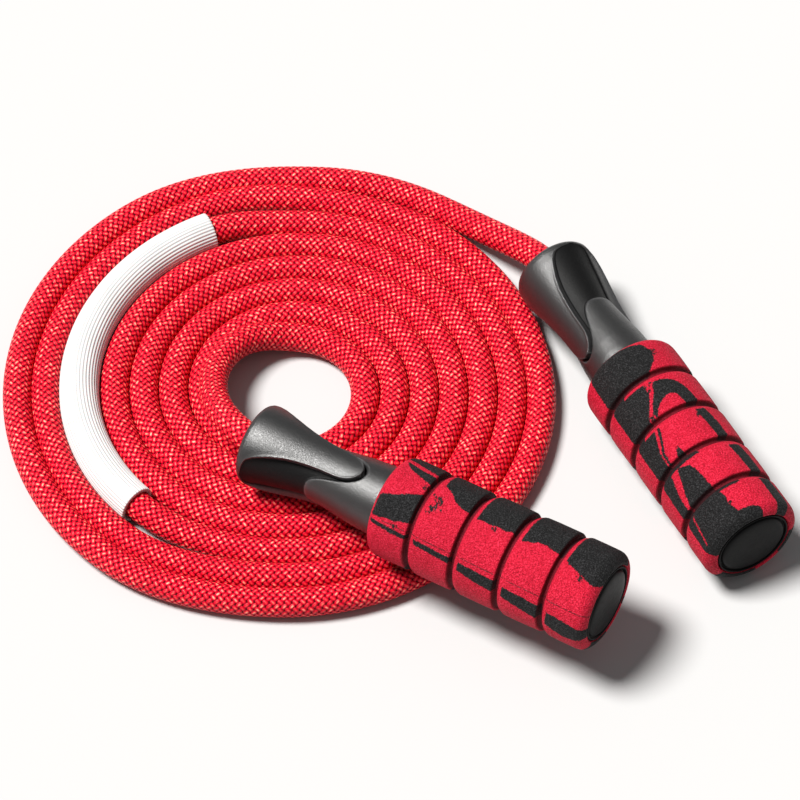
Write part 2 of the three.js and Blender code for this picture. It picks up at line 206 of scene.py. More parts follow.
def new_mesh(name, verts, faces, uvs=None, attrs=None, smooth_shade=True):
    me = bpy.data.meshes.new(name)
    verts = np.asarray(verts, np.float32)
    faces = np.asarray(faces, np.int32)
    if volume(verts, faces) < 0:
        faces = np.ascontiguousarray(faces[:, ::-1])
        if uvs is not None:
            uvs = np.asarray(uvs, np.float32).reshape(len(faces), -1, 2)[:, ::-1]
    me.vertices.add(len(verts)); me.vertices.foreach_set("co", verts.ravel())
    k = faces.shape[1]
    me.loops.add(faces.size); me.loops.foreach_set("vertex_index", faces.ravel())
    me.polygons.add(len(faces))
    me.polygons.foreach_set("loop_start", np.arange(0, faces.size, k, dtype=np.int32))
    me.polygons.foreach_set("loop_total", np.full(len(faces), k, np.int32))
    me.update(calc_edges=True)
    if smooth_shade:
        me.polygons.foreach_set("use_smooth", np.ones(len(faces), bool))
    if uvs is not None:
        layer = me.uv_layers.new(name="braid")
        layer.data.foreach_set("uv", np.asarray(uvs, np.float32).ravel())
    for an, val in (attrs or {}).items():
        at = me.attributes.new(an, "FLOAT", "POINT")
        at.data.foreach_set("value", np.asarray(val, np.float32))
    me.validate()
    ob = bpy.data.objects.new(name, me)
    scene.collection.objects.link(ob)
    return ob


def grid_faces(rows, cols, wrap_rows=False):
    """Quads of a grid whose columns close round; vertex index is row*cols+col."""
    r = np.arange(rows if wrap_rows else rows - 1)
    c = np.arange(cols)
    R, C = np.meshgrid(r, c, indexing="ij")
    C2 = (C + 1) % cols
    R2 = (R + 1) % rows
    return np.stack([R * cols + C, R * cols + C2, R2 * cols + C2, R2 * cols + C], -1).reshape(-1, 4)


# ---------------------------------------------------------------------------
# Shader helper
# ---------------------------------------------------------------------------
class Graph:
    def __init__(self, name):
        self.mat = bpy.data.materials.new(name)
        self.mat.use_nodes = True
        self.nt = self.mat.node_tree
        self.bsdf = self.nt.nodes["Principled BSDF"]

    def set(self, **kw):
        for k, v in kw.items():
            self.bsdf.inputs[k.replace("_", " ")].default_value = v

    def link(self, a, b):
        self.nt.links.new(a, b)

    def put(self, a, sock):
        if hasattr(a, "links") or isinstance(a, bpy.types.NodeSocket):
            self.link(a, sock)
        else:
            sock.default_value = a

    def m(self, op, *args, clamp=False):
        n = self.nt.nodes.new("ShaderNodeMath"); n.operation = op; n.use_clamp = clamp
        for i, a in enumerate(args):
            self.put(a, n.inputs[i])
        return n.outputs[0]

    def attr(self, name):
        n = self.nt.nodes.new("ShaderNodeAttribute"); n.attribute_name = name
        return n.outputs["Fac"]

    def obj(self):
        n = self.nt.nodes.new("ShaderNodeTexCoord")
        return n.outputs["Object"]

    def scaled(self, vec, x, y, z):
        n = self.nt.nodes.new("ShaderNodeMapping")
        n.inputs["Scale"].default_value = (x, y, z)
        self.link(vec, n.inputs["Vector"])
        return n.outputs[0]

    def noise(self, scale, detail=2, rough=0.5, vec=None):
        n = self.nt.nodes.new("ShaderNodeTexNoise")
        n.inputs["Scale"].default_value = scale
        n.inputs["Detail"].default_value = detail
        n.inputs["Roughness"].default_value = rough
        self.link(self.obj() if vec is None else vec, n.inputs["Vector"])
        return n.outputs["Fac"]

    def voronoi(self, scale, feature="F1", vec=None):
        n = self.nt.nodes.new("ShaderNodeTexVoronoi"); n.feature = feature
        n.inputs["Scale"].default_value = scale
        self.link(self.obj() if vec is None else vec, n.inputs["Vector"])
        return n.outputs["Distance"]

    def ramp(self, fac, stops, interp="LINEAR"):
        n = self.nt.nodes.new("ShaderNodeValToRGB")
        n.color_ramp.interpolation = interp
        els = n.color_ramp.elements
        while len(els) < len(stops):
            els.new(0.5)
        for e, (p, c) in zip(els, stops):
            e.position = p
            e.color = (*c, 1) if len(c) == 3 else c
        self.link(fac, n.inputs[0])
        return n.outputs[0]

    def remap(self, x, a, b, c=0.0, d=1.0):
        n = self.nt.nodes.new("ShaderNodeMapRange"); n.interpolation_type = "LINEAR"
        for i, val in enumerate((a, b, c, d)):
            n.inputs[1 + i].default_value = val
        self.link(x, n.inputs[0])
        return n.outputs[0]

    def mix(self, fac, a, b, blend="MIX"):
        n = self.nt.nodes.new("ShaderNodeMix"); n.data_type = "RGBA"; n.blend_type = blend
        self.put(fac, n.inputs[0])
        for s, val in ((n.inputs[6], a), (n.inputs[7], b)):
            if isinstance(val, tuple):
                s.default_value = (*val, 1) if len(val) == 3 else val
            else:
                self.link(val, s)
        return n.outputs[2]

    def bump(self, height, dist, strength=1.0, normal=None):
        n = self.nt.nodes.new("ShaderNodeBump")
        n.inputs["Strength"].default_value = strength
        n.inputs["Distance"].default_value = dist
        self.link(height, n.inputs["Height"])
        if normal is not None:
            self.link(normal, n.inputs["Normal"])
        return n.outputs[0]

    def out(self, color=None, rough=None, normal=None):
        for s, k in ((color, "Base Color"), (rough, "Roughness"), (normal, "Normal")):
            if s is not None:
                self.put(s, self.bsdf.inputs[k])
        return self.mat


# --- braided rope -----------------------------------------------------------
def braid_material():
    g = Graph("rope_braid")
    uvn = g.nt.nodes.new("ShaderNodeUVMap"); uvn.uv_map = "braid"
    sep = g.nt.nodes.new("ShaderNodeSeparateXYZ"); g.link(uvn.outputs[0], sep.inputs[0])
    u, v = sep.outputs[0], sep.outputs[1]
    k = g.m("FLOOR", v)
    best = None
    ident = None
    for dj in (-1, 0, 1):
        j = g.m("ADD", k, float(dj))
        par = g.m("FLOORED_MODULO", j, 2.0)
        s = g.m("MULTIPLY_ADD", par, -2.0, 1.0)
        yy = g.m("MULTIPLY", g.m("SUBTRACT", g.m("SUBTRACT", v, j), 0.5), COL_W)
        sy = g.m("MULTIPLY", s, yy)
        w = g.m("SUBTRACT", g.m("SUBTRACT", u, g.m("MULTIPLY", par, 0.5)), g.m("MULTIPLY", sy, 1 / math.tan(TH) / PITCH))
        rnd = g.m("ROUND", w)
        fr = g.m("SUBTRACT", w, rnd)
        a = g.m("ADD", g.m("MULTIPLY", yy, 1 / math.sin(TH)), g.m("MULTIPLY", g.m("MULTIPLY", s, fr), PITCH * math.cos(TH)))
        b = g.m("MULTIPLY", fr, PITCH * math.sin(TH) / LB)
        a = g.m("MULTIPLY", a, 1 / LA)
        hgt = g.m("SUBTRACT", 1.0, g.m("ADD", g.m("POWER", g.m("ABSOLUTE", a), 3.0), g.m("MULTIPLY", b, b)))
        best = hgt if best is None else g.m("MAXIMUM", best, hgt)
        if dj == 0:
            ident = g.m("ADD", g.m("MULTIPLY", rnd, 7.31), g.m("MULTIPLY", k, 3.77))
    relief = g.m("SQRT", g.m("MAXIMUM", best, 0.0))
    wn = g.nt.nodes.new("ShaderNodeTexWhiteNoise"); wn.noise_dimensions = "1D"
    g.link(ident, wn.inputs["W"])
    tint = wn.outputs["Value"]
    fibre = g.noise(5200, 2, 0.6)
    patch = g.noise(55, 2, 0.5)
    # painted shade and painted highlight: the colour follows the braid's relief, near black in the gaps between strands
    # and paler at the crests
    col = g.ramp(relief, [(0.0, (0.050, 0.0001, 0.0010)), (0.34, (0.20, 0.0003, 0.0045)), (0.60, (0.50, 0.0008, 0.015)),
                          (0.86, (0.72, 0.0014, 0.024)), (0.95, (0.80, 0.005, 0.028)), (1.0, (0.92, 0.07, 0.06))])
    # painted highlight: a cream glint mixed onto the crests of some strands
    shine = g.m("MULTIPLY", g.remap(relief, 0.91, 1.0), g.remap(tint, 0.40, 1.0, 0.0, 0.55))
    col = g.mix(shine, col, (1.0, 0.60, 0.38))
    shade = g.m("ADD", g.m("MULTIPLY", tint, 0.34), g.m("ADD", g.m("MULTIPLY", fibre, 0.25), g.m("MULTIPLY", patch, 0.22)))
    shade = g.m("ADD", shade, 0.60)
    val = g.nt.nodes.new("ShaderNodeHueSaturation")
    g.link(shade, val.inputs["Value"]); g.link(col, val.inputs["Color"])
    rough = g.m("SUBTRACT", 0.88, g.m("MULTIPLY", relief, 0.64))
    rough = g.m("ADD", rough, g.m("MULTIPLY", g.m("SUBTRACT", fibre, 0.5), 0.2))
    hsum = g.m("ADD", relief, g.m("MULTIPLY", fibre, 0.10))
    nrm = g.bump(hsum, 0.00062, 1.0)
    # the filaments of each strand run along it, so its shine spreads across it
    tan = g.nt.nodes.new("ShaderNodeTangent"); tan.direction_type = "UV_MAP"; tan.uv_map = "braid"
    g.link(tan.outputs[0], g.bsdf.inputs["Tangent"])
    par0 = g.m("FLOORED_MODULO", k, 2.0)
    turn = g.m("MULTIPLY_ADD", par0, -0.25, 0.375)
    g.link(turn, g.bsdf.inputs["Anisotropic Rotation"])
    g.set(Specular_IOR_Level=0.17, IOR=1.5, Anisotropic=0.5)
    return g.out(val.outputs[0], rough, nrm)


def cord_end_material():
    """The same yarn where the rope runs inside the handle."""
    g = Graph("rope_yarn_inside")
    n1 = g.voronoi(620)
    fibre = g.noise(3800, 2, 0.6)
    h = g.m("SUBTRACT", 1.0, g.m("MULTIPLY", n1, 1.1), clamp=True)
    col = g.ramp(h, [(0.0, (0.02, 0.0003, 0.001)), (0.45, (0.34, 0.002, 0.010)), (1.0, (0.78, 0.008, 0.03))])
    g.set(Specular_IOR_Level=0.5)
    return g.out(col, g.remap(fibre, 0.2, 0.8, 0.4, 0.6), g.bump(g.m("ADD", h, g.m("MULTIPLY", fibre, 0.2)), 0.0004))


# --- moulded head plastic ----------------------------------------------------
def head_material():
    g = Graph("head_plastic")
    grain = g.noise(2500, 3, 0.75)
    fine = g.voronoi(4200)
    patch = g.noise(60, 2, 0.5)
    # painted highlight: a lighter grey, glossier line along the petals' edges and the tongue's front
    painted_edge_highlight = g.attr("edge")
    base = g.ramp(grain, [(0.30, (0.002, 0.002, 0.0022)), (0.55, (0.007, 0.007, 0.0074)), (0.78, (0.044, 0.044, 0.046))])
    base = g.mix(g.m("MULTIPLY", painted_edge_highlight, 0.30), base, (0.10, 0.10, 0.105))
    base = g.mix(g.remap(patch, 0.35, 0.7, 0.0, 0.25), base, (0.009, 0.009, 0.0095))
    rough = g.m("SUBTRACT", g.remap(grain, 0.35, 0.68, 0.54, 0.25), g.m("MULTIPLY", painted_edge_highlight, 0.06))
    deep = g.attr("deep")
    # painted shade: the hollows' colour is darkened near black; they are also made rougher
    base = g.mix(g.m("MULTIPLY", deep, 0.85), base, (0.0025, 0.0025, 0.0027))
    rough = g.m("ADD", rough, g.remap(deep, 0.02, 0.42, 0.0, 0.50))
    h = g.m("ADD", g.m("MULTIPLY", grain, 1.0), g.m("MULTIPLY", fine, 0.5))
    g.set(Specular_IOR_Level=1.0)
    return g.out(base, rough, g.bump(h, 0.00009, 0.8))


def scoop_material():
    """The hollows of the head: the same plastic, unpolished, with its colour darkened near black as painted shade."""
    g = Graph("head_scoop_plastic")
    grain = g.noise(2300, 3, 0.65)
    base = g.ramp(grain, [(0.3, (0.001, 0.001, 0.0011)), (0.6, (0.0035, 0.0035, 0.0037)), (0.8, (0.012, 0.012, 0.0125))])
    g.set(Specular_IOR_Level=0.20)
    return g.out(base, g.remap(grain, 0.3, 0.75, 0.62, 0.50), g.bump(grain, 0.00014, 0.7))


# --- foam grip ---------------------------------------------------------------
def foam_material():
    g = Graph("grip_foam")
    sdf = g.attr("camo")             # mm to the nearest edge of the dark print, negative inside
    speck = g.attr("score")          # mm to a fine scored line
    jag = g.noise(900, 3, 0.7)
    jag2 = g.noise(2600, 2, 0.7)
    edge = g.m("ADD", g.m("SUBTRACT", sdf, 0.20), g.m("ADD", g.m("MULTIPLY", g.m("SUBTRACT", jag, 0.5), 1.3), g.m("MULTIPLY", g.m("SUBTRACT", jag2, 0.5), 1.1)))
    dark = g.remap(edge, 0.10, -0.10)
    score = g.remap(g.m("ABSOLUTE", speck), 0.30, 0.10, 0.0, 0.75)
    dark = g.m("MAXIMUM", dark, g.m("MULTIPLY", score, g.remap(jag, 0.40, 0.48)))
    cells = g.voronoi(2100)
    cells2 = g.voronoi(3700)
    grain = g.noise(1900, 2, 0.7)
    patch = g.noise(70, 2, 0.5)
    red = g.ramp(grain, [(0.27, (0.20, 0.0004, 0.007)), (0.5, (0.52, 0.0022, 0.024)), (0.73, (0.80, 0.034, 0.085))])
    red = g.mix(g.remap(patch, 0.35, 0.7, 0.0, 0.22), red, (0.32, 0.0012, 0.014))
    black = g.ramp(grain, [(0.27, (0.0006, 0.0006, 0.0008)), (0.5, (0.0055, 0.0055, 0.006)), (0.75, (0.045, 0.045, 0.047))])
    col = g.mix(dark, red, black)
    # painted shade: the groove floors are darkened toward near black
    painted_groove_shade = g.attr("groove")
    col = g.mix(g.m("MULTIPLY", painted_groove_shade, 0.80), col, (0.030, 0.0006, 0.003))
    pores = g.m("ADD", g.m("MULTIPLY", cells, 0.8), g.m("MULTIPLY", cells2, 0.5))
    h = g.m("SUBTRACT", grain, pores)
    g.set(Specular_IOR_Level=0.22)
    return g.out(col, g.remap(grain, 0.3, 0.7, 0.82, 0.66), g.bump(h, 0.00034, 1.0))


# --- end cap -----------------------------------------------------------------
def cap_material():
    g = Graph("cap_plastic")
    grain = g.noise(1700, 3, 0.6)
    scratch = g.noise(900, 3, 0.7, g.scaled(g.obj(), 1, 0.15, 1))
    base = g.ramp(grain, [(0.3, (0.0012, 0.0012, 0.0014)), (0.7, (0.004, 0.004, 0.0042))])
    rough = g.m("ADD", g.remap(scratch, 0.3, 0.7, 0.40, 0.50), g.m("MULTIPLY", g.m("SUBTRACT", grain, 0.5), 0.08))
    g.set(Specular_IOR_Level=0.09)
    return g.out(base, rough, g.bump(grain, 0.00005, 0.5))


# --- sleeve ------------------------------------------------------------------
def sleeve_material():
    g = Graph("sleeve_plastic")
    soft = g.noise(90, 3, 0.5)
    grain = g.noise(2600, 2, 0.6)
    base = g.ramp(soft, [(0.3, (0.62, 0.62, 0.615)), (0.7, (0.70, 0.70, 0.695))])
    rib = g.attr("rib")
    # painted shade: the valleys between the ribs are darkened toward grey
    base = g.mix(g.m("MULTIPLY", g.m("SUBTRACT", 1.0, rib), 0.50), base, (0.30, 0.30, 0.31))
    inner = g.attr("inner")
    # painted shade: the inside of the bore is darkened
    base = g.mix(g.m("MULTIPLY", inner, 0.75), base, (0.07, 0.06, 0.06))
    g.set(Specular_IOR_Level=0.5, Subsurface_Weight=0.06, Subsurface_Scale=0.002)
    return g.out(base, g.remap(grain, 0.3, 0.7, 0.30, 0.42), g.bump(grain, 0.00005, 0.5))


def metal(name, color, rough, scale=(1, 1, 1), bumpd=0.00003):
    g = Graph(name)
    brushed = g.noise(1500, 3, 0.6, g.scaled(g.obj(), *scale))
    stain = g.noise(160, 3, 0.6)
    lo = tuple(c * 0.72 for c in color)
    base = g.mix(g.remap(stain, 0.35, 0.7), color, lo)
    g.set(Metallic=1.0)
    return g.out(base, g.m("ADD", g.remap(brushed, 0.3, 0.7, rough - 0.06, rough + 0.08), 0.0), g.bump(brushed, bumpd, 0.6))


MAT = {
    "rope": braid_material(), "yarn": cord_end_material(), "head": head_material(), "scoop": scoop_material(), "foam": foam_material(),
    "cap": cap_material(), "sleeve": sleeve_material(),
    "steel": metal("bearing_steel", (0.62, 0.63, 0.65), 0.22, (1, 1, 6)),
    "cage": metal("cage_brass", (0.56, 0.40, 0.16), 0.32),
    "bush": metal("bush_metal", (0.48, 0.49, 0.51), 0.36, (5, 1, 1)),
}

# ---------------------------------------------------------------------------
# Rope
# ---------------------------------------------------------------------------
n = len(route)
u = run / PITCH
cols = np.arange(AROUND) * (COLS / AROUND)
U, V = np.meshgrid(u, cols, indexing="ij")
rel = relief_np(U, V)
roll = 0.10 * np.sin(run / 190.0) + 0.07 * np.sin(run / 77.0 + 1.0)
phi = (V / COLS) * 2 * math.pi + roll[:, None]
rad = 4.80 + 0.22 * rel
verts = route[:, None, :] + rad[..., None] * (np.cos(phi)[..., None] * B[:, None, :] + np.sin(phi)[..., None] * N[:, None, :])
verts = verts.reshape(-1, 3)
faces = grid_faces(n, AROUND)
vi = np.concatenate([cols, [COLS]])
R_, C_ = np.meshgrid(np.arange(n - 1), np.arange(AROUND), indexing="ij")
R_, C_ = R_.ravel(), C_.ravel()
uv = np.stack([
    np.stack([u[R_], vi[C_]], -1), np.stack([u[R_], vi[C_ + 1]], -1),
    np.stack([u[R_ + 1], vi[C_ + 1]], -1), np.stack([u[R_ + 1], vi[C_]], -1)], 1)
# the two ends, closed by a ring of quads that meets in one row of points
m0 = len(verts)
caps_v, caps_f, caps_uv = [], [], []
for end, row in ((0, 0), (1, n - 1)):
    ring = np.arange(AROUND) + row * AROUND
    base = m0 + len(caps_v)
    for q in range(AROUND):
        caps_v.append(route[row] + (verts[ring[q]] - route[row]) * 0.02)
    for q in range(AROUND):
        q2 = (q + 1) % AROUND
        f4 = [ring[q], base + q, base + q2, ring[q2]] if end == 0 else [ring[q2], base + q2, base + q, ring[q]]
        caps_f.append(f4)
        caps_uv.append([[u[row], 0.5]] * 4)
    for q in range(AROUND // 2 - 1):
        f4 = [base + q + 1, base + q, base + AROUND - 1 - q, base + AROUND - 2 - q]
        caps_f.append(f4 if end == 0 else f4[::-1])
        caps_uv.append([[u[row], 0.5]] * 4)
verts = np.vstack([verts, np.array(caps_v)])
faces = np.vstack([faces, np.array(caps_f)])
uv = np.vstack([uv, np.array(caps_uv)])
# B x N points against T, so the ring order is turned to keep the faces outward
faces = faces[:, ::-1]
uv = uv[:, ::-1]
rope = new_mesh("rope", verts * MM, faces, uvs=uv)
rope.data.materials.append(MAT["rope"])
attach(rope, "rope")
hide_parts("rope_lead_a", "rope_coil", "rope_lead_b")

# ---------------------------------------------------------------------------
# Sleeve: ribbed tube on the sixth turn
# ---------------------------------------------------------------------------
RIBS, RIB_STEPS = 36, 6
sd = np.linspace(SLEEVE_FROM, SLEEVE_TO, 150)
sc = coil_point(sd) + COIL
sT = np.gradient(sc, axis=0); sT /= np.linalg.norm(sT, axis=1)[:, None]
sN = np.array([0, 0, 1.0]) - sT * sT[:, 2:3]; sN /= np.linalg.norm(sN, axis=1)[:, None]
sB = np.cross(sT, sN)
around = RIBS * RIB_STEPS
ang = np.arange(around) * 2 * math.pi / around
ribv = 0.5 + 0.5 * np.cos(ang * RIBS)
ribv = ribv ** 0.6
sl_rows, sl_rib, sl_in = [], [], []


def ring_at(i, r, shift=0.0):
    return sc[i] + sT[i] * shift + r[:, None] * (np.cos(ang)[:, None] * sB[i] + np.sin(ang)[:, None] * sN[i])


outer_r = SLEEVE_OD / 2 - 0.30 * (1 - ribv)
inner_r = np.full(around, SLEEVE_ID / 2)
L = len(sd)
for i in range(L):
    sl_rows.append(ring_at(i, outer_r)); sl_rib.append(ribv); sl_in.append(np.zeros(around))
    if i == 0:
        sl_rows[-1] = ring_at(i, outer_r - 0.12)
        sl_rows.append(ring_at(i, outer_r, 0.14)); sl_rib.append(ribv); sl_in.append(np.zeros(around))
    if i == L - 1:
        last_row = sl_rows.pop()
        sl_rows.append(ring_at(i, outer_r, -0.14)); sl_rib.append(ribv); sl_in.append(np.zeros(around))
        sl_rows.append(ring_at(i, outer_r - 0.12))
# the bore; its inner mask carries the painted shade inside it, at a quarter strength at the two ends
for i in list(range(L - 1, -1, -6)) + ([0] if (L - 1) % 6 else []):
    sl_rows.append(ring_at(i, inner_r)); sl_rib.append(np.ones(around)); sl_in.append(np.ones(around) if 0 < i < L - 1 else np.full(around, 0.25))
sl_v = np.vstack(sl_rows)
sleeve = new_mesh("rope_wear_sleeve", sl_v * MM, grid_faces(len(sl_rows), around, wrap_rows=True)[:, ::-1],
                  attrs={"rib": np.concatenate(sl_rib), "inner": np.concatenate(sl_in)})
sleeve.data.materials.append(MAT["sleeve"])
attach(sleeve, "sleeve")
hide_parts("rope_sleeve")

# ---------------------------------------------------------------------------
# Heads: flared bell with two long petals, scoops between them, and the neck
# ---------------------------------------------------------------------------
PETAL_R = [[0, 12.7], [0.6, 13.6], [1.6, 14.15], [3, 14.35], [6, 14.35], [10, 14.1], [15, 13.6], [20, 13.0], [25, 12.5],
           [30, 12.2], [36, 12.1], [42, 12.3]]
PETAL_HALF = [[2.0, 92], [2.5, 74], [3.4, 60], [5.5, 53], [8, 48], [11.6, 41.5], [16, 35.5], [20, 32], [24, 29.5], [28, 28],
              [33, 27.5], [34.5, 27], [36, 25.8], [37.5, 23.6], [38.5, 21.5], [39.5, 18.6], [40.3, 15.2], [40.9, 11.6], [41.3, 8.2],
              [41.6, 4], [41.75, -3]]
SCOOP_R = [[2, 14.0], [4, 13.2], [7, 12.3], [10, 11.6], [14, 10.8], [18, 10.0], [22, 9.3], [26, 8.9], [30, 8.8], [40, 8.8]]
NECK_R = [[20, 9.5], [24, 9.75], [27, 10.0], [32, 10.6], [37, 11.3], [42, 11.9], [48, 12.3]]


def table_at(rows, x):
    rows = np.array(rows, float)
    fine = np.linspace(rows[0, 0], rows[-1, 0], 400)
    vals = np.interp(fine, rows[:, 0], rows[:, 1])
    kk = np.hanning(23); kk /= kk.sum()
    pad = np.concatenate([2 * vals[0] - vals[11:0:-1], vals, 2 * vals[-1] - vals[-2:-13:-1]])
    vals = np.convolve(pad, kk, mode="valid")
    return np.interp(x, fine, vals)


def head_radius(at, angle, soft):
    s = np.where(at < 3, at, at / (1 + (HEAD_STRETCH - 1) * np.minimum(1, (at - 3) / 10)))
    psi = np.mod(np.degrees(angle) - 90, 180)
    psi = np.where(psi > 90, 180 - psi, psi)
    petal = np.interp(s, *np.array(PETAL_R[:4], float).T)
    petal = np.where(s > 3, table_at(PETAL_R[3:], s), petal)
    neck = table_at(NECK_R, s)
    # the tongue's front runs up to the petal and then round its tip, close to it
    tongue = np.where(psi > 36, 24 + 15 * np.power(np.clip((90 - psi) / 62, 0, 9), 4.7),
                      np.interp(psi, [0, 4, 8, 12, 15, 18.6, 21.5, 24, 27, 29, 32, 36], [42.5, 42.4, 42.15, 41.75, 41.2, 40.4, 39.5, 38.7, 37.4, 36.3, 34.5, 31.85]))
    floor = table_at(SCOOP_R, s)
    inner = np.where(s < 20, floor, floor + (np.maximum(neck, floor) - floor) * smooth(-0.75, 0.75, s - tongue))
    half_w = table_at(PETAL_HALF, s) if False else np.interp(s, *np.array(PETAL_HALF, float).T)
    t = smooth(-1, 1, (psi - half_w) / soft)
    r = petal + (inner - petal) * t
    # a small rounded lip stands along the petal's edge and the tongue's front
    lip = 0.16 * np.exp(-((psi - half_w + soft * 1.1) / 2.0) ** 2) * smooth(3.0, 7.0, s) * (s < 41.5)
    r = r + lip * (1 - t)
    r = np.where(s < 2, petal, r)
    # mask of the painted highlight line along the petal's edge and the tongue's front
    edge = np.exp(-((psi - half_w + 2.0) / 1.4) ** 2) * (s > 2.6) * (s < 42)
    edge = np.maximum(edge, 0.8 * np.exp(-((s - tongue - 0.5) / 0.6) ** 2) * (s > 20) * (psi > half_w + 2))
    # deep marks the hollows, whose colour the materials darken as painted shade
    deep = smooth(-0.4, 1.2, (psi - half_w) / soft) * (1 - smooth(-0.4, 0.3, s - tongue)) * (s > 2.2)
    return r, edge, deep


def build_head(tag):
    nth = 320
    th = np.arange(nth) * 2 * math.pi / nth
    s_rows = np.concatenate([[0, 0.2, 0.45, 0.8, 1.2, 1.6, 2.0, 2.3, 2.6, 2.9], np.arange(3.2, 20, 0.42), np.arange(20, 45.2, 0.28),
                             np.arange(45.5, 50, 0.8)])
    SS, AA = np.meshgrid(s_rows, th, indexing="ij")
    # the columns gather along the petals' edges, so that each edge is one clean line
    deg = np.degrees(th)
    near = np.mod(deg - 90, 180)
    near = np.where(near > 90, near - 180, near)
    for i, at in enumerate(s_rows):
        own = at if at < 3 else at / (1 + (HEAD_STRETCH - 1) * min(1, (at - 3) / 10))
        half = max(15.0, float(np.interp(own, *np.array(PETAL_HALF, float).T)))
        lo = min(max(half - 2.8, 0.6), 84.0)
        hi = min(max(half + 2.8, lo + 1.5), 89.0)
        turned = deg - near + np.sign(near) * np.interp(np.abs(near), [0, 26, 48, 90], [0, lo, hi, 90])
        back = float(smooth(42.5, 48.0, at))
        AA[i] = np.radians(turned * (1 - back) + deg * back)
    rr, edge, deep = head_radius(SS, AA, 2.3)
    fade = smooth(47.5, 50.0, SS)
    rr = rr * (1 - fade) + 12.3 * fade
    rows = [np.stack([rr[i] * np.cos(AA[i]), rr[i] * np.sin(AA[i]), np.full(nth, s_rows[i])], -1) for i in range(len(s_rows))]
    edges = [edge[i] for i in range(len(s_rows))]
    deeps = [deep[i] for i in range(len(s_rows))]
    tail = [(60, 12.3), (90, 12.3), (129.3, 12.3), (129.5, 12.1), (129.5, 11.0), (129.3, 10.8), (90, 10.8), (51.8, 10.8), (51.6, 10.6),
            (51.6, 8.8), (51.4, 8.6), (51.0, 8.6), (51.0, 6.0), (50.8, 5.8), (30, 5.8), (6.0, 5.8), (5.0, 5.85), (4.0, 6.25), (3.0, 6.95),
            (2.2, 7.6), (1.3, 8.9), (0.6, 10.2), (0.3, 10.9), (0.05, 11.5), (-0.0, 12.1)]
    for s0, r0 in tail:
        rows.append(np.stack([r0 * np.cos(th), r0 * np.sin(th), np.full(nth, s0)], -1))
        edges.append(np.full(nth, 0.0)); deeps.append(np.full(nth, 0.0))
    v = np.vstack(rows)
    f = grid_faces(len(rows), nth, wrap_rows=True)
    ob = new_mesh(f"head_and_barrel_{tag}", to_row(tag, v), f, attrs={"edge": np.concatenate(edges), "deep": np.concatenate(deeps)})
    ob.data.materials.append(MAT["head"])
    ob.data.materials.append(MAT["scoop"])
    dv = np.concatenate(deeps)
    ob.data.polygons.foreach_set("material_index", (dv[f].mean(axis=1) > 0.45).astype(np.int32))
    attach(ob, f"handle_{tag}")
    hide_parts(f"handle_shell_{tag}")
    return ob


